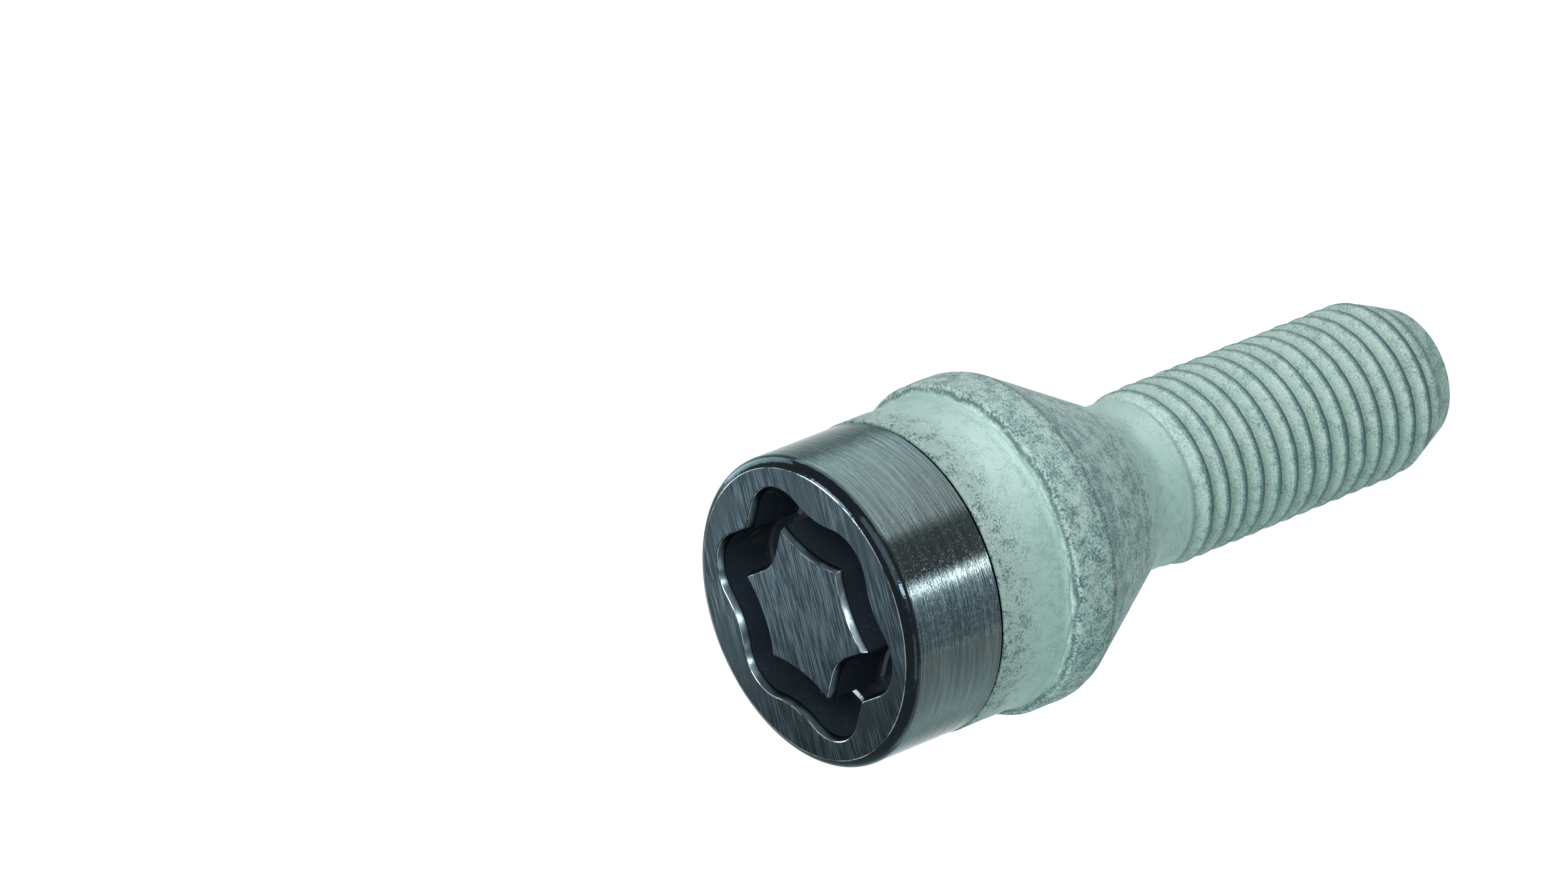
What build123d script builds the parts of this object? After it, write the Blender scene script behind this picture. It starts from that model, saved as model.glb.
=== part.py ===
from build123d import *

import os
from math import radians, tan

# A locking wheel bolt: one forged, turned and thread-rolled piece of steel.
# It stands on the end of its thread with the keyed head up. Millimetres.
# The axis is Z, Z 0 is the end of the thread, and the head's face is on top.

# Threaded shank, M12 x 1.5, held here as its plain major cylinder
THREAD_DIAMETER = 12.0
THREAD_LENGTH = 20.0
LEAD_LENGTH = 3.5
LEAD_DEPTH = 1.5
RUN_OUT_LENGTH = 0.9

# Plain neck that the thread stands proud of
NECK_LENGTH = 1.95
THREAD_RISE = 0.35
NECK_FILLET = 2.4

# Conical seat that centres the bolt in the wheel
SEAT_ANGLE = 60.0

# Forged band, and the collar that stands out below it
BAND_DIAMETER = 20.75
BAND_LENGTH = 5.55
COLLAR_STEP = 0.725
COLLAR_LENGTH = 2.5
SHOULDER_LENGTH = 0.55
SHOULDER_ROUND = 0.2

# Head, turned down a little below the band
TURN_DOWN = 0.075
HEAD_LENGTH = 7.65
HEAD_ROUND = 0.8

# Key groove: one closed channel of even width round a six-pointed island.
# Two of the island's sides, across from each other, are deep round notches.
GROOVE_WIDTH = 2.95
GROOVE_DEPTH = 4.2
RIM_WALL = 1.9
SHORT_POINT_DROP = 0.5
SIDE_HOLLOW = 0.4
NOTCH_FLANK_ANGLE = 21.0
NOSE_ROUND = 0.1
POINT_ROUND = 0.12

NODE_NAME = "wheel_bolt"

# Radii and heights that follow from those sizes
thread_radius = THREAD_DIAMETER / 2
tip_radius = thread_radius - LEAD_DEPTH
neck_radius = thread_radius - THREAD_RISE
band_radius = BAND_DIAMETER / 2
collar_radius = band_radius + COLLAR_STEP
head_radius = band_radius - TURN_DOWN
seat_length = (collar_radius - neck_radius) / tan(radians(SEAT_ANGLE / 2))

thread_top = LEAD_LENGTH + THREAD_LENGTH
neck_bottom = thread_top + RUN_OUT_LENGTH
seat_bottom = neck_bottom + NECK_LENGTH
seat_top = seat_bottom + seat_length
collar_top = seat_top + COLLAR_LENGTH
band_bottom = collar_top + SHOULDER_LENGTH
head_bottom = band_bottom + BAND_LENGTH
face_height = head_bottom + HEAD_LENGTH


def turned_blank() -> Part:
    """Revolve the bolt's half profile, from the end of the thread up to the face."""
    seat_corner = (neck_radius, seat_bottom)
    collar_corner = (collar_radius, collar_top)
    band_corner = (band_radius, band_bottom)
    face_corner = (head_radius, face_height)
    outline = Polyline(
        (0, 0),
        (tip_radius, 0),
        (thread_radius, LEAD_LENGTH),
        (thread_radius, thread_top),
        (neck_radius, neck_bottom),
        seat_corner,
        (collar_radius, seat_top),
        collar_corner,
        band_corner,
        (band_radius, head_bottom),
        (head_radius, head_bottom),
        face_corner,
        (0, face_height),
        close=True,
    )
    profile = make_face(outline)
    rounds = {
        seat_corner: NECK_FILLET,
        collar_corner: SHOULDER_ROUND,
        band_corner: SHOULDER_ROUND,
        face_corner: HEAD_ROUND,
    }
    for corner, size in rounds.items():
        profile = fillet(profile.vertices().sort_by_distance(corner)[0], size)
    return revolve(Plane.XZ * profile, Axis.Z)


def island_points() -> list[Vector]:
    """Place the island's points, anticlockwise, with the two short ones on the Y axis."""
    long_radius = head_radius - RIM_WALL - GROOVE_WIDTH
    short_radius = long_radius - SHORT_POINT_DROP
    radii = [long_radius, short_radius, long_radius] * 2
    step = 360 / len(radii)
    return [Vector(radius, 0).rotate(Axis.Z, step * (place + 0.5)) for place, radius in enumerate(radii)]


def notch(start: Vector, end: Vector) -> Wire:
    """Draw a deep round notch between two points: straight flanks joined by one arc."""
    middle = (start + end) / 2
    depth = (end - start).length / 2 * tan(radians(NOTCH_FLANK_ANGLE))
    bottom = middle - middle.normalized() * depth
    return FilletPolyline(start, bottom, end, radius=GROOVE_WIDTH + NOSE_ROUND)


def key_island() -> Sketch:
    """Draw the island that the groove runs round: a notch between long points, else a shallow hollow."""
    points = island_points()
    half = len(points) // 2
    sides = []
    for place, start in enumerate(points, start=1):
        end = points[place % len(points)]
        if place % half == 0:
            sides.append(notch(start, end))
        else:
            sides.append(SagittaArc(start, end, SIDE_HOLLOW))
    island = make_face(Curve() + sides)
    corners = [island.vertices().sort_by_distance(point)[0] for point in points]
    return fillet(corners, POINT_ROUND)


def wheel_bolt() -> Part:
    """Cut the key groove into the face of the turned blank."""
    island = key_island()
    channel = offset(island, GROOVE_WIDTH, kind=Kind.ARC) - island
    groove = extrude(Plane.XY.offset(face_height) * channel, -GROOVE_DEPTH)
    return turned_blank() - groove


def main() -> None:
    """Write the bolt as one solid."""
    os.makedirs("parts", exist_ok=True)
    export_step(wheel_bolt(), f"parts/{NODE_NAME}.step")


if __name__ == "__main__":
    main()
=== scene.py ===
"""The looks of a locking wheel bolt that stands on the end of its thread, with the keyed head up.

The bolt is one piece of steel. It is shown as three meshes that meet where its finish or its shape changes:
the black keyed head, the grey forged body and the grey threaded shank. All sizes are in metres.
"""

import logging
import math
from collections.abc import Callable
from dataclasses import dataclass, field
from enum import Enum
from typing import Any

import bmesh
import bpy
from bpy.types import Material, NodeSocket, Object, World
from mathutils import Matrix, Vector, noise


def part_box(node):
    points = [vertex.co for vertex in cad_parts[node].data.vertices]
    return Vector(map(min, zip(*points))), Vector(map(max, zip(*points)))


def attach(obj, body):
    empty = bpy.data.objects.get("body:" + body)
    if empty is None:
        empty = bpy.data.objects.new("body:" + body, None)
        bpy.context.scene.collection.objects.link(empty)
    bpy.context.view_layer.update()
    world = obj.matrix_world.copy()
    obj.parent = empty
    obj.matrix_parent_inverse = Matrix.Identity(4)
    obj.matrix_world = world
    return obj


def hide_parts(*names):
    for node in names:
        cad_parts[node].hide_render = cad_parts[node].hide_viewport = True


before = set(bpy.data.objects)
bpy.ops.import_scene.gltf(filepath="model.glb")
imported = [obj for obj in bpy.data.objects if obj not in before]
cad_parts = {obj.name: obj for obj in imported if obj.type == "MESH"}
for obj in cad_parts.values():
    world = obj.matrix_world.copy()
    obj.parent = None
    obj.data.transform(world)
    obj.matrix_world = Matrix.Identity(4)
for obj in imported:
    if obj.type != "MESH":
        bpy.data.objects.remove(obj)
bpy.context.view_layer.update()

log = logging.getLogger("wheel_bolt")

MM = 0.001
COLUMNS = 240
WELD = 0.0004 * MM
NOISE_ROUGHNESS = 0.6
DENT_TOP = 0.7
NODE = "wheel_bolt"
BODY = "root"

Colour = tuple[float, float, float, float]
Point = tuple[float, float]
Span = tuple[float, float]


class HeadZone(Enum):
    """The differently finished areas of the keyed head, by material slot."""

    SIDE = 0
    FACE = 1
    GROOVE = 2
    LIP = 3
    EDGE = 4
    RIM = 5


class Signal:
    """One socket of a material, which Python's operators join into Math nodes."""

    def __init__(self, board: "Board", socket: NodeSocket) -> None:
        """Keep the socket and the board that it is on."""
        self.board = board
        self.socket = socket

    def _math(self, operation: str, first: "Value", second: "Value") -> "Signal":
        """Add one Math node."""
        return self.board.node("Math", {"operation": operation}, {0: first, 1: second})

    def __add__(self, other: "Value") -> "Signal":
        """Add a value."""
        return self._math("ADD", self, other)

    def __radd__(self, other: "Value") -> "Signal":
        """Be added to a number."""
        return self._math("ADD", other, self)

    def __sub__(self, other: "Value") -> "Signal":
        """Take a value away."""
        return self._math("SUBTRACT", self, other)

    def __rsub__(self, other: "Value") -> "Signal":
        """Be taken away from a number."""
        return self._math("SUBTRACT", other, self)

    def __mul__(self, other: "Value") -> "Signal":
        """Multiply by a value."""
        return self._math("MULTIPLY", self, other)

    def most(self, other: "Value") -> "Signal":
        """Take the larger of this and a value."""
        return self._math("MAXIMUM", self, other)

    def swing(self) -> "Signal":
        """Let a noise or a step swing about 0."""
        return self - 0.5


Value = Signal | float


class Board:
    """The node board of one material or of the world."""

    def __init__(self, owner: Material | World) -> None:
        """Empty the owner's board.

        Args:
            owner: The new material or world.
        """
        owner.use_nodes = True
        self.owner = owner
        self.tree = owner.node_tree
        self.tree.nodes.clear()

    @classmethod
    def of_material(cls, name: str) -> "Board":
        """Start the board of a new material."""
        return cls(bpy.data.materials.new(name))

    def node(
        self,
        kind: str,
        settings: dict[str, Any],
        sockets: dict[int | str, Any],
        output: int | str | None = 0,
    ) -> Signal | None:
        """Add one node.

        Args:
            kind: The node's type, less the ShaderNode that each starts with.
            settings: Its settings, which are set before its sockets.
            sockets: Values or links of its input sockets, by name or number.
            output: Which of its outputs to hand back, or None for a node that ends the board.

        Returns:
            The chosen output, if any.
        """
        made = self.tree.nodes.new("ShaderNode" + kind)
        for name, value in settings.items():
            setattr(made, name, value)
        for name, value in sockets.items():
            if isinstance(value, Signal):
                self.tree.links.new(value.socket, made.inputs[name])
            else:
                made.inputs[name].default_value = value
        return None if output is None else Signal(self, made.outputs[output])

    def surface(self, shader: Signal) -> None:
        """Lead a shader to the owner's output."""
        end = "OutputWorld" if isinstance(self.owner, World) else "OutputMaterial"
        self.node(end, {}, {"Surface": shader}, None)

    def finish(self, sockets: dict[int | str, Any]) -> Material:
        """End the board in one Principled shader.

        Args:
            sockets: Values or links of the shader's sockets.

        Returns:
            The material.
        """
        self.surface(self.node("BsdfPrincipled", {}, sockets))
        return self.owner

    def seen(self) -> Signal:
        """Give 1 to the rays that show a background: the camera's, glossy ones and transmitted ones."""
        camera, glossy, through = (
            self.node("LightPath", {}, {}, output)
            for output in ("Is Camera Ray", "Is Glossy Ray", "Is Transmission Ray")
        )
        return camera.most(glossy).most(through)

    def place(self) -> Signal:
        """Give the object coordinates."""
        return self.node("TexCoord", {}, {}, "Object")

    def height(self) -> Signal:
        """Give the height above the end of the thread."""
        return self.node("SeparateXYZ", {}, {0: self.place()}, "Z")

    def radius(self) -> Signal:
        """Give the distance from the bolt's axis."""
        level = (1.0, 1.0, 0.0)
        flat = self.node("VectorMath", {"operation": "MULTIPLY"}, {0: self.place(), 1: level})
        return self.node("VectorMath", {"operation": "LENGTH"}, {0: flat}, "Value")

    def climb(self, pitch: float) -> Signal:
        """Give how far up its turn of the thread a point lies, from 0 in one root to 1 in the next."""
        across = self.node("SeparateXYZ", {}, {0: self.place()}, "X")
        along = self.node("SeparateXYZ", {}, {0: self.place()}, "Y")
        turn = self.node("Math", {"operation": "ARCTAN2"}, {0: along, 1: across})
        turns = self.height() * (1.0 / pitch) - turn * (1.0 / math.tau)
        return self.node("Math", {"operation": "FRACT"}, {0: turns})

    def grain(
        self,
        size: Vector | float,
        detail: float = 2.0,
        turn: float = 0.0,
        shift: float = 0.0,
    ) -> Signal:
        """Give a noise that wanders from 0 to 1.

        Args:
            size: How long its features are, in metres, along each axis or all round.
            detail: How many finer noises it carries.
            turn: How far the pattern is turned about the bolt's axis.
            shift: How far the pattern is moved, to part it from another.

        Returns:
            The noise.
        """
        lengths = size if isinstance(size, Vector) else Vector((size, size, size))
        sockets = {"Vector": self.place(), "Rotation": (0.0, 0.0, turn)}
        turned = self.node("Mapping", {"vector_type": "TEXTURE"}, sockets)
        sockets = {"Vector": turned, "Location": [shift] * 3, "Scale": [1.0 / length for length in lengths]}
        scaled = self.node("Mapping", {"vector_type": "POINT"}, sockets)
        sockets = {"Vector": scaled, "Scale": 1.0, "Detail": detail, "Roughness": NOISE_ROUGHNESS}
        return self.node("TexNoise", {}, sockets, "Fac")

    def rise(self, value: Signal, limits: Span, level: float = 0.0) -> Signal:
        """Give a smooth step.

        Args:
            value: The value that steps.
            limits: Where the step starts, at 0, and where it ends, at 1. The end may lie below the start.
            level: The level that the limits are counted from.

        Returns:
            The step.
        """
        low, high = (level + limit for limit in limits)
        sockets = {"Value": value, "From Min": low, "From Max": high}
        return self.node("MapRange", {"interpolation_type": "SMOOTHSTEP"}, sockets)

    def blend(self, share: Value, first: Signal | Colour, second: Signal | Colour) -> Signal:
        """Mix two colours.

        Args:
            share: How much of the second colour there is.
            first: The colour at share 0.
            second: The colour at share 1.

        Returns:
            The mixed colour.
        """
        # A Mix node has a pair of inputs for each kind of data: 6 and 7 take colours, and output 2 gives one.
        return self.node("Mix", {"data_type": "RGBA"}, {0: share, 6: first, 7: second}, 2)

    def relief(self, height: Signal, depth: float) -> Signal:
        """Give a normal that leans as a relief of that depth in metres would make it."""
        return self.node("Bump", {}, {"Height": height, "Strength": 1.0, "Distance": depth})


@dataclass(frozen=True)
class TurnedBlack:
    """The glossy black side of the head: dark metal with fine lathe lines and a few pits."""

    deep: Colour = (0.0182, 0.0250, 0.0268, 1.0)
    thin: Colour = (0.0325, 0.0425, 0.0424, 1.0)
    edge_tint: Colour = (0.66, 0.77, 0.77, 1.0)
    line_width: float = 0.13 * MM
    line_length: float = 4.0 * MM
    broad_width: float = 0.52 * MM
    broad_length: float = 10.0 * MM
    fine_share: float = 0.7
    contrast: Span = (0.38, 0.66)
    line_depth: float = 0.056 * MM
    pit: float = 0.13 * MM
    pit_limits: Span = (0.60, 0.72)
    pit_share: float = 0.10
    gloss: float = 0.08
    gloss_change: float = 0.1

    def material(self) -> Material:
        """Make the material."""
        board = Board.of_material("turned_black")
        fine = board.grain(Vector((self.line_length, self.line_length, self.line_width)), detail=3.0)
        broad = board.grain(Vector((self.broad_length, self.broad_length, self.broad_width)))
        lines = fine * self.fine_share + broad * (1.0 - self.fine_share)
        pits = board.rise(board.grain(self.pit, detail=1.0, shift=3.0), self.pit_limits)
        return board.finish({
            "Base Color": board.blend(board.rise(lines, self.contrast), self.deep, self.thin),
            "Metallic": 1.0,
            "Roughness": self.gloss + fine.swing() * self.gloss_change,
            "Specular Tint": self.edge_tint,
            "Normal": board.relief(lines + pits * self.pit_share, self.line_depth),
        })


@dataclass(frozen=True)
class GroundBlack:
    """The black face of the head, ground in one direction."""

    deep: Colour = (0.0030, 0.0052, 0.0080, 1.0)
    thin: Colour = (0.0245, 0.0370, 0.0465, 1.0)
    edge_tint: Colour = (0.75, 0.85, 0.85, 1.0)
    line_width: float = 0.10 * MM
    line_length: float = 2.4 * MM
    broad_width: float = 0.40 * MM
    broad_length: float = 7.2 * MM
    fine_share: float = 0.7
    contrast: Span = (0.42, 0.60)
    line_strength: float = 3.0
    line_depth: float = 0.009 * MM
    direction: float = math.radians(148.0)
    wear: float = 5.0 * MM
    wear_limits: Span = (0.40, 0.60)
    patch_wear: float = 0.45
    least_wear: float = 0.12
    island_edge: Span = (6.4 * MM, 5.2 * MM)
    island_wear: float = 0.55
    paleness: float = 0.26
    island_paleness: float = 0.14
    gloss: float = 0.30
    gloss_change: float = 0.25

    def material(self) -> Material:
        """Make the material."""
        board = Board.of_material("ground_black")
        endless = 1.0
        fine = board.grain(Vector((self.line_length, self.line_width, endless)), 3.0, self.direction)
        broad = board.grain(Vector((self.broad_length, self.broad_width, endless)), 2.0, self.direction)
        lines = fine * self.fine_share + broad * (1.0 - self.fine_share)
        island = board.rise(board.radius(), self.island_edge)
        patches = board.rise(board.grain(self.wear), self.wear_limits)
        worn = patches * self.patch_wear + self.least_wear + island * self.island_wear
        scored = (board.rise(lines, self.contrast) - self.contrast[0]) * worn * self.line_strength
        scored = scored + island * self.island_paleness + self.paleness
        return board.finish({
            "Base Color": board.blend(scored, self.deep, self.thin),
            "Metallic": 1.0,
            "Roughness": self.gloss + fine.swing() * self.gloss_change,
            "Specular Tint": self.edge_tint,
            "Normal": board.relief(lines, self.line_depth),
        })


@dataclass(frozen=True)
class PressedBlack:
    """The smooth, wet-looking black of the pressed groove, and with other tones of the rim's round."""

    name: str = "groove_black"
    deep: Colour = (0.020, 0.030, 0.042, 1.0)
    mist: Colour = (0.036, 0.050, 0.062, 1.0)
    metal: float = 0.0
    mist_size: float = 0.3 * MM
    mist_limits: Span = (0.55, 0.8)
    gloss: float = 0.12
    mist_gloss: float = 0.15
    edge_tint: Colour = (0.66, 0.76, 0.77, 1.0)
    ripple: float = 0.6 * MM
    ripple_depth: float = 0.02 * MM

    def material(self) -> Material:
        """Make the material."""
        board = Board.of_material(self.name)
        mist = board.rise(board.grain(self.mist_size, shift=5.0), self.mist_limits)
        return board.finish({
            "Base Color": board.blend(mist, self.deep, self.mist),
            "Metallic": self.metal,
            "Roughness": self.gloss + mist * self.mist_gloss,
            "Specular Tint": self.edge_tint,
            "Normal": board.relief(board.grain(self.ripple), self.ripple_depth),
        })


@dataclass(frozen=True)
class RubbedLip:
    """The groove's sloping lead-in, where the black has a grey polish."""

    polish: Colour = (0.062, 0.088, 0.096, 1.0)
    dull: Colour = (0.036, 0.054, 0.061, 1.0)
    mottle: float = 1.6 * MM
    mottle_limits: Span = (0.35, 0.65)
    gloss: float = 0.20
    gloss_change: float = 0.1

    def material(self) -> Material:
        """Make the material."""
        board = Board.of_material("rubbed_lip")
        mottle = board.grain(self.mottle)
        return board.finish({
            "Base Color": board.blend(board.rise(mottle, self.mottle_limits), self.polish, self.dull),
            "Metallic": 1.0,
            "Roughness": self.gloss + mottle.swing() * self.gloss_change,
        })


@dataclass(frozen=True)
class WornEdge:
    """The fine line round the face where the black has worn off the steel."""

    steel: Colour = (0.30, 0.36, 0.37, 1.0)
    black: Colour = (0.02, 0.03, 0.04, 1.0)
    wear: float = 1.6 * MM
    wear_limits: Span = (0.36, 0.62)
    gloss: float = 0.17
    gloss_change: float = 0.1
    nick: float = 0.15 * MM
    nick_depth: float = 0.01 * MM

    def material(self) -> Material:
        """Make the material."""
        board = Board.of_material("worn_edge")
        wear = board.rise(board.grain(self.wear, detail=4.0), self.wear_limits)
        return board.finish({
            "Base Color": board.blend(wear, self.black, self.steel),
            "Metallic": 1.0,
            "Roughness": self.gloss + (1.0 - wear) * self.gloss_change,
            "Normal": board.relief(board.grain(self.nick), self.nick_depth),
        })


class CoatZone(Enum):
    """An area where the grey coat looks different, by what it adds to the coat's roughness and darkness."""

    NEAR_HEAD = (1.45, -0.05)
    SHOULDER = (0.0, 0.30)
    COLLAR = (0.85, 0.48)
    SEAT = (0.62, 0.46)
    THREAD = (0.0, 0.0)
    # The crest's darkness is painted shade: it faces outwards and gets less light than the flank that faces
    # up.
    CREST = (0.45, 0.20)
    # The darkness of each crest's lower side is painted shade, where the crest turns down away from the
    # light.
    UNDERSIDE = (0.0, 0.85)
    FLANK = (0.50, 0.0)
    LEAD = (0.55, 0.28)

    def __init__(self, rough: float, tone: float) -> None:
        """Name the two additions."""
        self.rough = rough
        self.tone = tone


@dataclass(frozen=True)
class Stripe:
    """A soft stripe: its middle, counted from some level, half its width, and its strength."""

    middle: float
    half: float
    strength: float = 1.0

    def mask(self, board: Board, place: Signal, level: float = 0.0) -> Signal:
        """Mask the stripe.

        Args:
            board: The material's board.
            place: The height, or whatever else the stripe is measured along.
            level: The level that its middle is counted from.

        Returns:
            The strength at the middle, which falls to 0 at half the width away.
        """
        middle = level + self.middle
        below = board.rise(place, (middle - self.half, middle))
        return below * board.rise(place, (middle + self.half, middle)) * self.strength


@dataclass(frozen=True)
class ZincFlake:
    """The dull grey-green flake coat on all that isn't black.

    It is smooth where the bolt was turned or drawn, and mottled elsewhere. Limits are the values of a noise
    between which something fades in, and fades are the heights or radii between which an area does.
    """

    # The colour of the painted highlights and glints.
    bright: Colour = (0.80, 0.94, 0.88, 1.0)
    pale: Colour = (0.400, 0.622, 0.573, 1.0)
    mid: Colour = (0.066, 0.210, 0.220, 1.0)
    dark: Colour = (0.026, 0.070, 0.078, 1.0)
    rough: float = 0.34
    tone: float = 0.02
    gloss: float = 0.52
    gloss_change: float = 0.3
    shine: float = 0.23
    relief: float = 0.18 * MM
    mottle: float = 0.17 * MM
    mottle_relief: float = 0.6
    spot_limits: Span = (0.32, 0.68)
    spot_tone: float = 0.9
    clump: float = 0.85 * MM
    clump_share: float = 0.40
    clump_limits: Span = (0.30, 0.72)
    clump_tone: float = 0.55
    cloud: float = 2.6 * MM
    cloud_tone: float = 0.5
    waver: float = 0.5 * MM
    streak: float = 1.4 * MM
    streak_width: float = 0.26 * MM
    streak_limits: Span = (0.36, 0.66)
    streak_middle: float = 0.45
    streak_tone: float = 0.5
    speck: float = 0.07 * MM
    glint_limits: Span = (0.52, 0.66)
    glint_least: float = 0.10
    flank_highlight_limits: Span = (0.46, 0.60)
    flank_highlight_share: float = 0.80
    flank_highlight_least: float = 0.15
    pit_limits: Span = (0.51, 0.74)
    pit_least: float = 0.08
    shade_under_collar: Stripe = Stripe(-1.1 * MM, 1.7 * MM, 0.40)
    valley: Stripe = Stripe(0.75 * MM, 0.40 * MM, 0.16)
    ridge: Stripe = Stripe(0.02 * MM, 0.24 * MM)
    ridge_limits: Span = (0.38, 0.52)
    ridge_gaps: Span = (0.40, 0.60)
    lip: Stripe = Stripe(0.22 * MM, 0.12 * MM, 0.7)
    lip_limits: Span = (0.62, 0.45)
    ridge_shadow: Stripe = Stripe(0.38 * MM, 0.12 * MM, 0.6)
    ridge_shadow_limits: Span = (0.36, 0.48)
    edge: Stripe = Stripe(-0.20 * MM, 0.45 * MM, 0.8)
    edge_limits: Span = (0.28, 0.58)
    crest_highlight: Stripe = Stripe(0.68, 0.06, 0.7)
    crest_highlight_limits: Span = (0.40, 0.55)
    crest_shadow: Stripe = Stripe(0.37, 0.26, 0.9)
    crest_shadow_waver: float = 0.16
    underside: Span = (0.72, 0.47)
    underside_waver: float = 0.18
    band_fade: Span = (-0.22 * MM, 0.0)
    head_fade: Span = (-3.6 * MM, -0.1 * MM)
    ledge_fade: Span = (0.25 * MM, 0.40 * MM)
    seat_fade: Span = (0.12 * MM, -0.12 * MM)
    neck_fade: Span = (3.2 * MM, 0.4 * MM)
    lead_fade: Span = (2.2 * MM, 1.2 * MM)
    crest_fade: Span = (5.74 * MM, 5.86 * MM)

    def _areas(
        self, board: Board, levels: "Levels", wavering: Signal, underside: Signal
    ) -> dict[CoatZone, Signal]:
        """Mask the areas where the coat looks different.

        Args:
            board: The material's board.
            levels: The heights at which the look changes.
            wavering: The height, made uneven.
            underside: A mask of the lower side of each turn of the thread.

        Returns:
            A mask from 0 to 1 for each area.
        """
        height = board.height()
        band = board.rise(wavering, self.band_fade, levels.band_bottom)
        near_head = board.rise(height, self.head_fade, levels.head_bottom)
        below = board.rise(height, self.seat_fade, levels.seat_top)
        neck = board.rise(height, self.neck_fade, levels.seat_bottom)
        shoulder = (1.0 - band) * board.rise(wavering, self.ledge_fade, levels.collar_top)
        lead = board.rise(height, self.lead_fade)
        thread = board.rise(height, (levels.neck_bottom, levels.thread_top)) * (1.0 - lead)
        untapered = board.radius() + board.rise(height, (levels.lead, 0.0)) * levels.lead_depth
        crest = board.rise(untapered, self.crest_fade) * thread
        return {
            CoatZone.NEAR_HEAD: near_head * band,
            CoatZone.SHOULDER: shoulder,
            CoatZone.COLLAR: (1.0 - band) * (1.0 - below) * (1.0 - shoulder),
            CoatZone.SEAT: below * (1.0 - neck),
            CoatZone.THREAD: thread,
            CoatZone.CREST: crest,
            CoatZone.UNDERSIDE: underside * crest,
            CoatZone.FLANK: thread * (1.0 - crest),
            CoatZone.LEAD: lead,
        }

    def material(self, name: str, levels: "Levels") -> Material:
        """Make the material.

        Args:
            name: The material's name.
            levels: The heights at which the look changes.

        Returns:
            The material.
        """
        board = Board.of_material(name)
        clouds = board.grain(self.cloud, detail=4.0, shift=7.0)
        clumps = board.grain(self.clump, detail=3.0, shift=11.0)
        mottle = board.grain(self.mottle, detail=4.0) + clumps.swing() * self.clump_share
        specks = board.grain(self.speck, shift=2.0)
        streaks = board.grain(Vector((self.streak, self.streak, self.streak_width)), 5.0, shift=4.0)
        wavering = board.height() + clouds.swing() * self.waver
        climb = board.climb(levels.pitch)

        # Mask of each crest's lower side, where painted shade is laid in through the coat's zone table.
        underside = board.rise(climb + mottle.swing() * self.underside_waver, self.underside)
        areas = self._areas(board, levels, wavering, underside)
        seat = areas[CoatZone.SEAT]
        thread = areas[CoatZone.THREAD]
        rough = sum((mask * zone.rough for zone, mask in areas.items()), self.rough)
        tone = sum((mask * zone.tone for zone, mask in areas.items()), self.tone)

        tone = tone + clouds.swing() * self.cloud_tone
        tone = tone + board.rise(clumps, self.clump_limits).swing() * rough * self.clump_tone
        # A painted shade band on the cone, just under the collar.
        tone = tone + self.shade_under_collar.mask(board, wavering, levels.seat_top) * seat
        spots = board.rise(mottle, self.spot_limits).swing() * rough * self.spot_tone
        drawn = (board.rise(streaks, self.streak_limits) - self.streak_middle) * seat * self.streak_tone
        valley = self.valley.mask(board, wavering, levels.band_bottom)
        colour = board.blend(tone + spots + drawn + valley, self.pale, self.mid)

        # Painted glints: bright specks where the coat is mottled.
        glints = board.rise(specks, self.glint_limits) * (rough - self.glint_least)
        # The flanks, which face up toward the light, are painted lighter with bright specks: painted light
        # and painted glints.
        flank_highlight = board.rise(specks, self.flank_highlight_limits) * self.flank_highlight_share + self.flank_highlight_least
        flank_highlight = areas[CoatZone.FLANK] * flank_highlight
        # A painted highlight along the flash ridge under the band.
        ridge = self.ridge.mask(board, wavering, levels.band_bottom)
        ridge = ridge * board.rise(specks, self.ridge_limits) * board.rise(clumps, self.ridge_gaps)
        # A painted highlight line low on the shoulder, just above the collar.
        lip = self.lip.mask(board, wavering, levels.collar_top) * board.rise(mottle, self.lip_limits)
        # A painted highlight along the upper edge of each crest of the thread.
        crest_highlight = self.crest_highlight.mask(board, climb) * board.rise(specks, self.crest_highlight_limits) * thread
        # All the painted highlights and glints, mixed toward the bright colour.
        painted_highlights = glints.most(flank_highlight).most(ridge).most(lip).most(crest_highlight)
        colour = board.blend(painted_highlights, colour, self.bright)

        pits = board.rise((mottle + specks) * 0.5, self.pit_limits) * (rough - self.pit_least)
        # A painted shadow line on the shoulder, just under the flash ridge.
        ridge_shadow = self.ridge_shadow.mask(board, wavering, levels.collar_top) * board.rise(mottle, self.ridge_shadow_limits)
        edge = self.edge.mask(board, wavering, levels.seat_top) * board.rise(mottle, self.edge_limits)
        # A painted shadow line along the lower edge of each crest of the thread.
        crest_shadow = self.crest_shadow.mask(board, climb + mottle.swing() * self.crest_shadow_waver) * thread
        colour = board.blend(pits.most(ridge_shadow).most(edge).most(crest_shadow), colour, self.dark)
        bumps = mottle * self.mottle_relief + specks * (1.0 - self.mottle_relief)
        return board.finish({
            "Base Color": colour,
            "Roughness": self.gloss + mottle.swing() * self.gloss_change,
            "Specular IOR Level": self.shine,
            "Normal": board.relief(bumps * rough, self.relief),
        })


@dataclass(frozen=True)
class PaleFloor:
    """The plain white floor, which the camera and reflections see as white with the bolt's shadow."""

    tone: Colour = (0.62, 0.62, 0.62, 1.0)
    lift: float = 0.80

    def material(self) -> Material:
        """Make the material."""
        board = Board.of_material("pale_floor")
        matt = board.node("BsdfDiffuse", {}, {"Color": self.tone})
        glow = board.node("Emission", {}, {"Strength": board.seen() * self.lift})
        board.surface(board.node("AddShader", {}, {0: matt, 1: glow}))
        return board.owner


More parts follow.
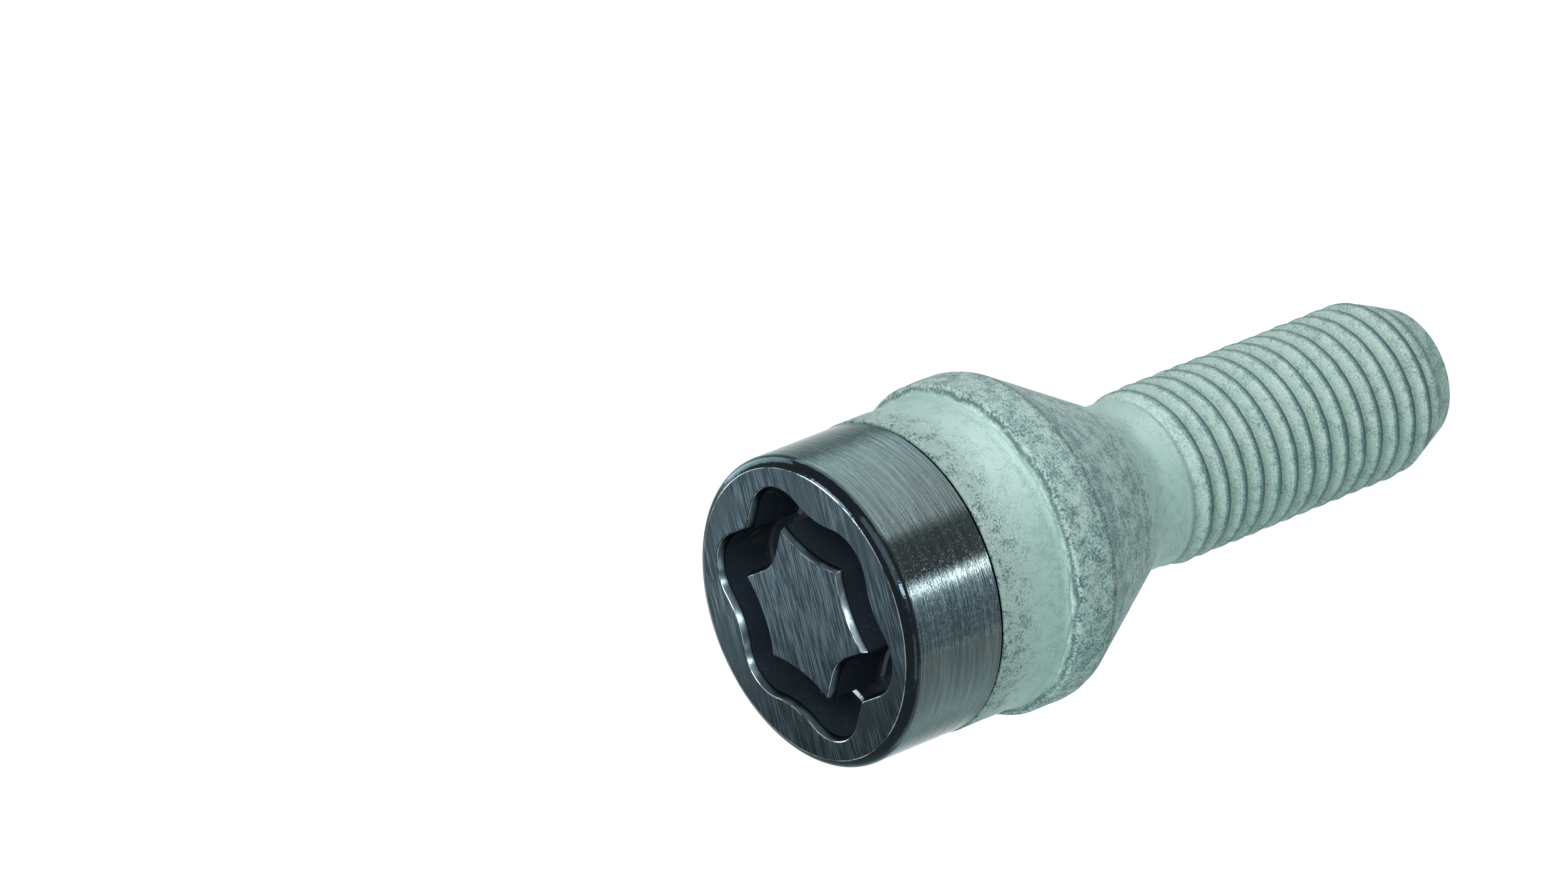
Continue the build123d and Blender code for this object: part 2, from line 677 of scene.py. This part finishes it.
class Bench:
    """The hand tools that every piece is modelled with."""

    @staticmethod
    def clear() -> None:
        """Leave edit mode and deselect everything."""
        if bpy.context.object is not None and bpy.context.object.mode != "OBJECT":
            bpy.ops.object.mode_set(mode="OBJECT")
        bpy.ops.object.select_all(action="DESELECT")

    @staticmethod
    def drawn_line(name: str, points: list[Point]) -> Object:
        """Draw a half profile in the XZ plane, one extruded point after another.

        Args:
            name: The new object's name.
            points: Radius and height of each point.

        Returns:
            The object, left in edit mode with all selected.
        """
        Bench.clear()
        bpy.ops.mesh.primitive_plane_add(size=MM)
        line = bpy.context.object
        line.name = name
        line.data.name = name
        bpy.ops.object.mode_set(mode="EDIT")
        bpy.ops.mesh.select_mode(type="VERT")
        bpy.ops.mesh.select_all(action="SELECT")
        bpy.ops.mesh.merge(type="CENTER")
        radius, height = points[0]
        bpy.ops.transform.translate(value=(radius, 0.0, height))
        for (radius, height), (last_radius, last_height) in zip(points[1:], points):
            step = (radius - last_radius, 0.0, height - last_height)
            bpy.ops.mesh.extrude_vertices_move(TRANSFORM_OT_translate={"value": step})
        bpy.ops.mesh.select_all(action="SELECT")
        return line

    @staticmethod
    def close(piece: Object, crease: float) -> None:
        """Merge doubles, fill the open ends, point the faces outwards and smooth them.

        Args:
            piece: The active object, in edit mode.
            crease: The angle above which an edge stays sharp.
        """
        bpy.ops.mesh.select_all(action="SELECT")
        bpy.ops.mesh.remove_doubles(threshold=WELD)
        bpy.ops.mesh.dissolve_degenerate(threshold=WELD)
        bpy.ops.mesh.select_all(action="DESELECT")
        bpy.ops.mesh.select_non_manifold(extend=False, use_wire=False, use_multi_face=False)
        bpy.ops.mesh.edge_face_add()
        bpy.ops.mesh.select_all(action="SELECT")
        bpy.ops.mesh.normals_make_consistent(inside=False)
        bpy.ops.object.mode_set(mode="OBJECT")
        bpy.ops.object.shade_smooth_by_angle(angle=crease)
        log.info("%s has %d faces", piece.name, len(piece.data.polygons))


def clamped(share: float) -> float:
    """Keep a share between 0 and 1."""
    return min(1.0, max(0.0, share))


def arc_points(centre: Point, radius: float, start: float, end: float, steps: int) -> list[Point]:
    """Give points along an arc of a half profile.

    Args:
        centre: Radius and height of the arc's centre.
        radius: The arc's own radius.
        start: Its first angle in degrees, from outwards towards up.
        end: Its last angle in degrees.
        steps: How many steps it takes.

    Returns:
        Radius and height of each point, both ends among them.
    """
    angles = [math.radians(start + (end - start) * step / steps) for step in range(steps + 1)]
    return [(centre[0] + radius * math.cos(turn), centre[1] + radius * math.sin(turn)) for turn in angles]


def even_points(start: Point, end: Point, steps: int) -> list[Point]:
    """Divide a straight run of a half profile, and give its points with both ends."""
    shares = [step / steps for step in range(steps + 1)]
    return [
        (start[0] + (end[0] - start[0]) * share, start[1] + (end[1] - start[1]) * share) for share in shares
    ]


@dataclass
class Levels:
    """The heights along the bolt, worked out from the length of each stretch below the face of the head."""

    face: float
    head: float = 7.65 * MM
    band: float = 5.55 * MM
    shoulder: float = 0.55 * MM
    collar: float = 2.5 * MM
    seat: float = 9.44 * MM
    neck: float = 1.95 * MM
    run_out: float = 0.9 * MM
    pitch: float = 1.5 * MM
    lead: float = 3.5 * MM
    lead_depth: float = 1.5 * MM
    joint_drop: float = 0.4 * MM

    def __post_init__(self) -> None:
        """Work out where each stretch ends, and where the body's mesh meets the shank's in the neck."""
        self.head_bottom = self.face - self.head
        self.band_bottom = self.head_bottom - self.band
        self.collar_top = self.band_bottom - self.shoulder
        self.seat_top = self.collar_top - self.collar
        self.seat_bottom = self.seat_top - self.seat
        self.neck_bottom = self.seat_bottom - self.neck
        self.thread_top = self.neck_bottom - self.run_out
        self.joint = (self.neck_bottom + self.seat_bottom) / 2.0 - self.joint_drop


@dataclass
class KeyOutline:
    """The outline of the six-pointed island in the head, and of anything that runs round it at a distance.

    Two of its sides, on the X axis, are deep round notches with straight flanks. The rest are shallow
    hollows.
    """

    long_point: float = 5.45 * MM
    short_point: float = 4.95 * MM
    point_angle: float = math.radians(30.0)
    hollow: float = 0.4 * MM
    flank_angle: float = math.radians(21.0)
    notch_radius: float = 3.05 * MM

    def __post_init__(self) -> None:
        """Work out the points and centres of the first quarter, which the rest repeats."""
        self.tip = Vector((math.cos(self.point_angle), math.sin(self.point_angle))) * self.long_point
        self.top = Vector((0.0, self.short_point))
        self.flank_normal = Vector((math.cos(self.flank_angle), -math.sin(self.flank_angle)))
        bottom = self.tip.x - self.tip.y * math.tan(self.flank_angle)
        self.nose = Vector((bottom + self.notch_radius / math.cos(self.flank_angle), 0.0))
        chord = self.top - self.tip
        outwards = Vector((-chord.y, chord.x)).normalized() * -1.0
        self.side_radius = (chord.length_squared / 4.0 + self.hollow**2) / (2.0 * self.hollow)
        self.side_centre = (self.tip + self.top) / 2.0 + outwards * (self.side_radius - self.hollow)

    def reach(self, angle: float, gap: float) -> float:
        """Find how far from the axis the outline lies.

        Args:
            angle: The direction from the axis.
            gap: How far outside the island the outline runs.

        Returns:
            The distance from the axis.
        """
        folded = abs((angle + math.pi / 2.0) % math.pi - math.pi / 2.0)
        way = Vector((math.cos(folded), math.sin(folded)))
        grown = max(gap, 0.0)
        flank_end = self.tip + self.flank_normal * grown
        side_start = self.tip + (self.side_centre - self.tip).normalized() * grown
        side_end = self.top + (self.side_centre - self.top).normalized() * grown
        if folded < self._turn(self.nose - self.flank_normal * (self.notch_radius - grown)):
            far = self._crossing(way, self.nose, self.notch_radius - grown, -1.0)
        elif folded < self._turn(flank_end):
            far = flank_end.dot(self.flank_normal) / way.dot(self.flank_normal)
        elif folded < self._turn(side_start):
            far = self._crossing(way, self.tip, grown, 1.0)
        elif folded < self._turn(side_end):
            far = self._crossing(way, self.side_centre, self.side_radius - grown, -1.0)
        else:
            far = self._crossing(way, self.top, grown, 1.0)
        return far + min(gap, 0.0)

    @staticmethod
    def _turn(point: Vector) -> float:
        """Give the direction of a point from the axis."""
        return math.atan2(point.y, point.x)

    @staticmethod
    def _crossing(way: Vector, centre: Vector, radius: float, side: float) -> float:
        """Give where a line from the axis crosses a circle, on its near side (-1) or far side (1)."""
        along = centre.dot(way)
        return along + side * math.sqrt(max(0.0, along**2 - centre.length_squared + radius**2))


@dataclass
class KeyedHead:
    """The black turned head, with the key groove in its face."""

    levels: Levels
    outline: KeyOutline = field(default_factory=KeyOutline)
    radius: float = 10.3 * MM
    edge_round: float = 0.84 * MM
    edge_break: float = 14.0
    worn_width: float = 0.055 * MM
    groove_width: float = 2.95 * MM
    groove_depth: float = 4.2 * MM
    lip_depth: float = 0.44 * MM
    lip_width: float = 0.23 * MM
    lip_round: float = 0.06 * MM
    floor_round: float = 0.35 * MM
    parting_width: float = 0.24 * MM
    parting_depth: float = 0.20 * MM
    spigot: float = 0.3 * MM
    crease: float = math.radians(17.0)
    margin: float = 0.02 * MM

    def wall(self) -> list[Point]:
        """Give the groove's section from the island's edge to the floor: gap from the island, and depth."""
        lip = self.lip_round
        return [
            (-lip, 0.0),
            (-0.3 * lip, 0.3 * lip),
            (0.4 * lip, lip),
            (self.lip_width - 0.4 * lip, self.lip_depth - 0.5 * lip),
            (self.lip_width, self.lip_depth + lip),
            (self.lip_width, self.groove_depth - self.floor_round),
            (self.lip_width + 0.3 * self.floor_round, self.groove_depth - 0.3 * self.floor_round),
            (self.lip_width + self.floor_round, self.groove_depth),
        ]

    def side(self) -> list[Point]:
        """Give the head's outer section, from its rim down to the parting line: radius and height."""
        top = self.levels.face
        bottom = self.levels.head_bottom
        centre = (self.radius - self.edge_round, top - self.edge_round)
        rim = arc_points(centre, self.edge_round, 90.0 - self.edge_break, 0.0, 8)
        lowered = top - self.worn_width * 0.4 - rim[0][1]
        tall = rim[0][1] - centre[1]
        rim = [(radius, height + lowered * (height - centre[1]) / tall) for radius, height in rim]
        rim.insert(0, (rim[0][0] - self.worn_width, top))
        run = even_points(rim[-1], (self.radius, bottom + self.parting_width), 6)[1:]
        parting = [
            (self.radius - 0.35 * self.parting_depth, bottom + 0.7 * self.parting_width),
            (self.radius - self.parting_depth, bottom + 0.3 * self.parting_width),
            (self.radius - self.parting_depth, bottom - self.spigot),
        ]
        return rim + run + parting

    def build(self) -> Object:
        """Draw the head outwards ring by ring, from the island's top to the parting line.

        Returns:
            The head's mesh object.
        """
        Bench.clear()
        bpy.ops.mesh.primitive_circle_add(vertices=COLUMNS, radius=self.outline.short_point, fill_type="NGON")
        head = bpy.context.object
        head.name = "keyed_head"
        head.data.name = "keyed_head"
        bpy.ops.object.mode_set(mode="EDIT")
        bpy.ops.mesh.select_all(action="SELECT")
        section = self.wall()
        self._shape(head, lambda turn: self.outline.reach(turn, section[0][0]), self.levels.face)
        bpy.ops.mesh.select_mode(type="EDGE")
        bpy.ops.mesh.region_to_loop()
        rings = section[1:] + [(self.groove_width - gap, depth) for gap, depth in reversed(section)]
        for gap, depth in rings:
            bpy.ops.mesh.extrude_edges_move()
            self._shape(head, lambda turn: self.outline.reach(turn, gap), self.levels.face - depth)
        for radius, height in self.side():
            bpy.ops.mesh.extrude_edges_move()
            self._shape(head, lambda turn: radius, height)
        Bench.close(head, self.crease)
        return head

    @staticmethod
    def _shape(head: Object, reach: Callable[[float], float], height: float) -> None:
        """Bring the selected ring to its outline and height.

        Args:
            head: The object in edit mode.
            reach: Gives the distance from the axis for a direction.
            height: The ring's height.
        """
        mesh = bmesh.from_edit_mesh(head.data)
        for vertex in mesh.verts:
            if vertex.select:
                turn = math.atan2(vertex.co.y, vertex.co.x)
                far = reach(turn)
                vertex.co = (far * math.cos(turn), far * math.sin(turn), height)
        bmesh.update_edit_mesh(head.data)

    def dress(self, head: Object) -> None:
        """Give each area of the head its black.

        Args:
            head: The head's mesh object.
        """
        finishes = {
            HeadZone.SIDE: TurnedBlack(),
            HeadZone.FACE: GroundBlack(),
            HeadZone.GROOVE: PressedBlack(),
            HeadZone.LIP: RubbedLip(),
            HeadZone.EDGE: WornEdge(),
            HeadZone.RIM: PressedBlack(
                "rim_black", deep=(0.0100, 0.0155, 0.0185, 1.0), mist=(0.016, 0.024, 0.028, 1.0), metal=1.0
            ),
        }
        for zone in HeadZone:
            head.data.materials.append(finishes[zone].material())
        edge_start, edge_end = [radius for radius, height in self.side()[:2]]
        lip_bottom = self.levels.face - self.lip_depth - 0.5 * self.lip_round
        lip_top = self.levels.face - self.lip_round
        flat_top = self.levels.face - 0.5 * self.lip_round
        under_groove = self.levels.face - self.groove_depth - self.floor_round
        for face in head.data.polygons:
            far = face.center.to_2d().length
            if far > self.radius - self.margin or face.center.z < under_groove:
                zone = HeadZone.SIDE
            elif far > edge_end:
                zone = HeadZone.RIM
            elif far > edge_start:
                zone = HeadZone.EDGE
            elif face.center.z > flat_top:
                zone = HeadZone.FACE
            elif face.center.z > lip_top:
                zone = HeadZone.EDGE
            elif face.center.z > lip_bottom:
                zone = HeadZone.LIP
            else:
                zone = HeadZone.GROOVE
            face.material_index = zone.value


@dataclass
class ForgedBody:
    """The grey forged middle: the band below the head, the collar, the cone and the top of the neck."""

    levels: Levels
    band_radius: float = 10.375 * MM
    collar_radius: float = 11.1 * MM
    neck_radius: float = 5.65 * MM
    neck_fillet: float = 2.4 * MM
    edge_round: float = 0.12 * MM
    seat_edge: float = 0.35 * MM
    seat_lean: float = 30.0
    flash_height: float = 0.16 * MM
    flash_width: float = 0.5 * MM
    flash_rise: float = 0.12 * MM
    flash_spread: float = 0.16 * MM
    sway: float = 0.16 * MM
    sway_length: float = 2.2 * MM
    swell_base: float = 0.65
    swell_change: float = 0.6
    swell_length: float = 1.1 * MM
    swell_shift: float = 3.0 * MM
    recess: float = 0.35 * MM
    recess_depth: float = 0.2 * MM
    unevenness: float = 0.035 * MM
    dent: float = 1.3 * MM
    small_dent: float = 0.55 * MM
    small_share: float = 0.5
    smooth_end: float = 0.4 * MM
    smooth_fade: float = 3.0 * MM
    crease: float = math.radians(35.0)

    def profile(self) -> list[Point]:
        """Give the half profile from the recess under the head down to the joint in the neck.

        Returns:
            Radius and height of each point.
        """
        top = self.levels.head_bottom
        band = self.levels.band_bottom
        seat = self.levels.seat_top
        lean = math.radians(self.seat_lean)
        inner = self.band_radius - self.recess_depth
        corner = (self.band_radius - self.edge_round, top - self.edge_round)
        points = [(inner, top - self.recess), (inner, top)]
        points += arc_points(corner, self.edge_round, 90.0, 0.0, 4)
        points += even_points(points[-1], (self.band_radius, band + self.flash_width), 16)[1:]
        points += even_points(points[-1], (self.band_radius, band), 5)[1:]
        shoulder = self.collar_radius - self.band_radius
        drop = band - self.levels.collar_top
        for share in [step / 6.0 for step in range(1, 7)]:
            bulge = math.sin(share * math.pi / 2.0)
            points.append((self.band_radius + shoulder * bulge, band - drop * share))
        points += even_points(points[-1], (self.collar_radius, seat + self.seat_edge), 9)[1:]
        cut = self.seat_edge
        points.append((self.collar_radius - 0.06 * cut, seat + 0.45 * cut))
        points.append((self.collar_radius - 0.28 * cut, seat - 0.15 * cut))
        first = (self.collar_radius - cut * math.tan(lean), seat - cut)
        sunk = self.levels.seat_bottom - self.neck_fillet * math.tan(lean / 2.0)
        centre = (self.neck_radius + self.neck_fillet, sunk)
        bend = arc_points(centre, self.neck_fillet, 180.0 - self.seat_lean, 180.0, 8)
        points += even_points(first, bend[0], 22)
        points += bend[1:]
        points += even_points(points[-1], (self.neck_radius, self.levels.joint), 3)[1:]
        return points

    def build(self) -> Object:
        """Draw the half profile, spin it round the axis, and work the forging's unevenness into it.

        Returns:
            The body's mesh object.
        """
        body = Bench.drawn_line("forged_body", self.profile())
        bpy.ops.mesh.spin(steps=COLUMNS, angle=math.tau, center=(0.0, 0.0, 0.0), axis=(0.0, 0.0, 1.0))
        bpy.ops.mesh.select_all(action="SELECT")
        bpy.ops.mesh.remove_doubles(threshold=WELD)
        self._forge(body)
        Bench.close(body, self.crease)
        return body

    def _forge(self, body: Object) -> None:
        """Raise the wavering flash line on the shoulder, and dent the band, shoulder and collar a little.

        Args:
            body: The object in edit mode.
        """
        mesh = bmesh.from_edit_mesh(body.data)
        for vertex in mesh.verts:
            flat = vertex.co.to_2d()
            far = flat.length
            height = vertex.co.z
            if far < self.band_radius - self.edge_round or height < self.levels.seat_top - self.seat_edge:
                continue
            sway = noise.noise(Vector((flat.x, flat.y, 0.0)) / self.sway_length) * self.sway
            line = self.levels.band_bottom + self.flash_rise + sway
            ridge = math.exp(-(((height - line) / self.flash_spread) ** 2))
            swell = noise.noise(Vector((flat.x, flat.y, self.swell_shift)) / self.swell_length)
            ridge *= self.swell_base + self.swell_change * swell
            near = clamped((self.levels.head_bottom - self.smooth_end - height) / self.smooth_fade)
            dent = noise.noise(vertex.co / self.dent)
            dent += self.small_share * noise.noise(vertex.co / self.small_dent)
            moved = far + self.flash_height * ridge + self.unevenness * near * (dent - DENT_TOP)
            moved = min(moved, self.collar_radius)
            vertex.co = (flat.x * moved / far, flat.y * moved / far, height)
        bmesh.update_edit_mesh(body.data)

    def dress(self, body: Object) -> None:
        """Coat the body."""
        body.data.materials.append(ZincFlake().material("zinc_flake_body", self.levels))


@dataclass
class ThreadedShank:
    """The grey rolled thread, with its run-out at the neck and its tapered lead at the end."""

    levels: Levels
    crest_radius: float = 6.0 * MM
    root_radius: float = 5.12 * MM
    neck_radius: float = 5.65 * MM
    crest_share: float = 0.32
    root_share: float = 0.10
    crown: float = 0.09 * MM
    rows: int = 18
    unevenness: float = 0.036 * MM
    dent: float = 1.5 * MM
    small_dent: float = 0.45 * MM
    small_share: float = 0.6
    weld: float = 0.0005 * MM
    crease: float = math.radians(40.0)

    def profile(self) -> list[Point]:
        """Give one turn's half profile, from the middle of one root up to the middle of the next.

        Returns:
            Radius and height of each point.
        """
        middle = (self.crest_radius + self.root_radius) / 2.0
        half = (self.crest_radius - self.root_radius) / 2.0
        points = []
        for row in range(self.rows + 1):
            share = row / self.rows
            away = abs(2.0 * share - 1.0)
            climb = clamped((away - self.crest_share) / (1.0 - self.crest_share - self.root_share))
            round_off = self.crown * min(1.0, away / self.crest_share) ** 2 * (1.0 - climb)
            points.append((middle + half * math.cos(climb * math.pi) - round_off, share * self.levels.pitch))
        return points

    def build(self) -> Object:
        """Screw one turn's profile up past both ends, then cut it to the lead, the run-out and the neck.

        Returns:
            The shank's mesh object.
        """
        shank = Bench.drawn_line("threaded_shank", self.profile())
        bpy.ops.transform.translate(value=(0.0, 0.0, -self.levels.pitch))
        bpy.ops.object.mode_set(mode="OBJECT")
        turns = math.ceil(self.levels.joint / self.levels.pitch) + 1
        screw = shank.modifiers.new("thread", "SCREW")
        screw.axis = "Z"
        screw.angle = math.tau
        screw.screw_offset = self.levels.pitch
        screw.iterations = turns
        screw.steps = COLUMNS
        screw.render_steps = COLUMNS
        screw.use_merge_vertices = True
        screw.merge_threshold = self.weld
        bpy.ops.object.modifier_apply(modifier=screw.name)
        bpy.ops.object.mode_set(mode="EDIT")
        bpy.ops.mesh.select_all(action="SELECT")
        bpy.ops.mesh.remove_doubles(threshold=self.weld)
        self._cut(shank)
        Bench.close(shank, self.crease)
        return shank

    def _cut(self, shank: Object) -> None:
        """Bring each point inside the lead's taper, the run-out and the two ends.

        Args:
            shank: The object in edit mode.
        """
        mesh = bmesh.from_edit_mesh(shank.data)
        half_turn = 0.5 * self.levels.pitch
        for vertex in mesh.verts:
            height = min(self.levels.joint, max(0.0, vertex.co.z))
            far = vertex.co.to_2d().length
            dent = noise.noise(vertex.co / self.dent)
            dent += self.small_share * noise.noise(vertex.co / self.small_dent)
            far += self.unevenness * (dent - DENT_TOP)
            taper = self.crest_radius - self.levels.lead_depth * (1.0 - height / self.levels.lead)
            fade = clamped((height - self.levels.thread_top + half_turn) / (self.levels.run_out + half_turn))
            fade = fade * fade * (3.0 - 2.0 * fade)
            near = min(far + (self.neck_radius - far) * fade, taper)
            flat = vertex.co.to_2d().normalized() * near
            vertex.co = (flat.x, flat.y, height)
        bmesh.update_edit_mesh(shank.data)

    def dress(self, shank: Object) -> None:
        """Coat the shank."""
        shank.data.materials.append(ZincFlake().material("zinc_flake_thread", self.levels))


@dataclass(frozen=True)
class PhotoCamera:
    """The camera, where the photograph was taken from."""

    azimuth: float = math.radians(-110.67)
    elevation: float = math.radians(35.82)
    roll: float = math.radians(-111.19)
    distance: float = 625.8 * MM
    image_width: float = 2510.0
    image_height: float = 1433.0
    focal_pixels: float = 16000.0
    sensor_width: float = 36.0
    nearest: float = 0.01
    face_pixel: Point = (1286.3, 984.3)

    def axes(self) -> tuple[Vector, Vector, Vector]:
        """Give the camera's right, up and backward directions."""
        flat = math.cos(self.elevation)
        level_back = Vector((math.cos(self.azimuth), math.sin(self.azimuth), 0.0))
        back = level_back * flat + Vector((0.0, 0.0, math.sin(self.elevation)))
        level = Vector((0.0, 0.0, 1.0)).cross(back).normalized()
        upright = back.cross(level)
        right = level * math.cos(self.roll) + upright * math.sin(self.roll)
        up = upright * math.cos(self.roll) - level * math.sin(self.roll)
        return right, up, back

    def set_up(self, levels: Levels) -> None:
        """Add the camera so that the middle of the head's face falls on its pixel.

        Args:
            levels: The heights along the bolt.
        """
        right, up, back = self.axes()
        across = (self.face_pixel[0] - self.image_width / 2.0) / self.focal_pixels
        down = (self.face_pixel[1] - self.image_height / 2.0) / self.focal_pixels
        face = Vector((0.0, 0.0, levels.face))
        place = face + (back - right * across + up * down) * self.distance
        Bench.clear()
        bpy.ops.object.camera_add()
        camera = bpy.context.object
        turn = Matrix((right, up, back)).transposed().to_4x4()
        camera.matrix_world = Matrix.Translation(place) @ turn
        camera.data.sensor_width = self.sensor_width
        camera.data.lens = self.focal_pixels * self.sensor_width / self.image_width
        camera.data.clip_start = self.nearest
        bpy.context.scene.camera = camera


class LampUse(Enum):
    """What a lamp is there for."""

    LIGHT = "lights everything"
    COAT_LIGHT = "lights only the grey coat"
    COAT_SHINE = "shows only in reflections on the grey coat"
    HEAD_SHINE = "shows only in reflections on the head"


class LampTint(Enum):
    """The colours of the lamps."""

    WHITE = (1.0, 1.0, 1.0)
    COOL = (0.64, 0.83, 1.0)
    TEAL = (0.62, 1.0, 1.0)


@dataclass(frozen=True)
class SoftLamp:
    """One soft studio lamp, which looks at the bolt's axis."""

    name: str
    azimuth: float
    away: float
    height: float
    aim: float
    width: float
    tall: float
    radiance: float
    use: LampUse = LampUse.HEAD_SHINE
    tint: LampTint = LampTint.WHITE

    def hang(self) -> Object:
        """Add the lamp.

        Returns:
            The lamp.
        """
        turn = math.radians(self.azimuth)
        place = Vector((self.away * math.cos(turn), self.away * math.sin(turn), self.height))
        way = place - Vector((0.0, 0.0, self.aim))
        Bench.clear()
        bpy.ops.object.light_add(type="AREA", location=place)
        lamp = bpy.context.object
        lamp.name = self.name
        lamp.data.shape = "RECTANGLE"
        lamp.data.size = self.width
        lamp.data.size_y = self.tall
        lamp.data.energy = self.radiance * math.pi * self.width * self.tall
        lamp.data.color = self.tint.value
        lamp.rotation_euler = way.to_track_quat("Z", "Y").to_euler()
        lamp.visible_camera = False
        lamp.visible_diffuse = self.use in (LampUse.LIGHT, LampUse.COAT_LIGHT)
        return lamp


# Azimuth, width, height and radiance of the lamps that let the bright streak on the head fade out.
FADING_LAMPS = (
    (-131.5, 0.006, 0.010, 14.0),
    (-138.0, 0.006, 0.008, 10.5),
    (-145.0, 0.007, 0.007, 8.5),
    (-153.0, 0.008, 0.006, 9.0),
    (-161.5, 0.009, 0.005, 8.0),
)


@dataclass(frozen=True)
class Studio:
    """The floor, the white surround and the lamps."""

    surround: float = 0.36
    floor_size: float = 6.0
    lamps: tuple[SoftLamp, ...] = (
        SoftLamp("high_softbox", -84.0, 0.50, 0.53, 0.03, 0.5, 0.5, 4.05, LampUse.LIGHT),
        SoftLamp("far_bounce", -215.0, 0.50, 0.15, 0.03, 0.3, 0.3, 1.6, LampUse.COAT_LIGHT, LampTint.TEAL),
        SoftLamp("coat_card", -62.0, 0.045, 0.025, 0.025, 0.050, 0.05, 13.0, LampUse.COAT_SHINE),
        SoftLamp("side_card", -45.0, 0.045, 0.025, 0.025, 0.076, 0.05, 7.0),
        SoftLamp("front_edge", -121.0, 0.050, 0.022, 0.022, 0.0030, 0.036, 68.0),
        SoftLamp("front_strip", -125.5, 0.050, 0.0195, 0.0195, 0.005, 0.012, 30.0),
        *(
            SoftLamp(f"front_fade_{place}", azimuth, 0.050, 0.0195, 0.0195, *size, tint=LampTint.COOL)
            for place, (azimuth, *size) in enumerate(FADING_LAMPS, start=1)
        ),
        SoftLamp("lower_card", -195.0, 0.045, 0.025, 0.025, 0.055, 0.05, 2.0),
        SoftLamp("lip_card", -105.0, 0.14, 0.10, 0.05, 0.16, 0.03, 2.0),
        SoftLamp("lobe_card", -165.0, 0.14, 0.10, 0.05, 0.08, 0.05, 2.5),
        SoftLamp("rim_strip", -118.0, 0.12, 0.107, 0.052, 0.016, 0.06, 40.0),
        SoftLamp("face_card", 56.5, 0.049, 0.084, 0.052, 0.030, 0.05, 3.6),
        SoftLamp("rim_side", 22.0, 0.10, 0.062, 0.052, 0.08, 0.05, 7.0),
        SoftLamp("rim_card", 25.0, 0.08, 0.18, 0.05, 0.045, 0.045, 18.0),
    )

    def build(self, head: Object, coated: list[Object]) -> None:
        """Lay the floor, whiten the surround and hang the lamps.

        Args:
            head: The piece that the head's own lamps shine on.
            coated: The pieces that the grey coat's own lamps shine on.
        """
        Bench.clear()
        bpy.ops.mesh.primitive_plane_add(size=self.floor_size)
        floor = bpy.context.object
        floor.name = "floor"
        floor.data.materials.append(PaleFloor().material())
        self._whiten()
        lit_alone = {LampUse.HEAD_SHINE: [head], LampUse.COAT_LIGHT: coated, LampUse.COAT_SHINE: coated}
        for lamp in self.lamps:
            hung = lamp.hang()
            for piece in lit_alone.get(lamp.use, []):
                piece.select_set(True)
                bpy.context.view_layer.objects.active = hung
                bpy.ops.object.light_linking_receivers_link(link_state="INCLUDE")

    def _whiten(self) -> None:
        """Make the surround white where it is seen or reflected, and a plain fill light elsewhere."""
        world = bpy.data.worlds.new("studio")
        bpy.context.scene.world = world
        board = Board(world)
        level = board.seen() * (1.0 - self.surround) + self.surround
        white = (1.0, 1.0, 1.0, 1.0)
        board.surface(board.node("Background", {}, {"Color": white, "Strength": level}))


def main() -> None:
    """Build the bolt's meshes in order, then the camera and the studio."""
    logging.basicConfig(level=logging.INFO)
    levels = Levels(face=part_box(NODE)[1].z)
    pieces = []
    for assembly in (KeyedHead(levels), ForgedBody(levels), ThreadedShank(levels)):
        piece = assembly.build()
        assembly.dress(piece)
        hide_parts(NODE)
        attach(piece, BODY)
        pieces.append(piece)
        log.info("built %s", piece.name)
    PhotoCamera().set_up(levels)
    Studio().build(head=pieces[0], coated=pieces[1:])
    bpy.context.scene.view_settings.view_transform = "Standard"


if __name__ == "__main__":
    main()
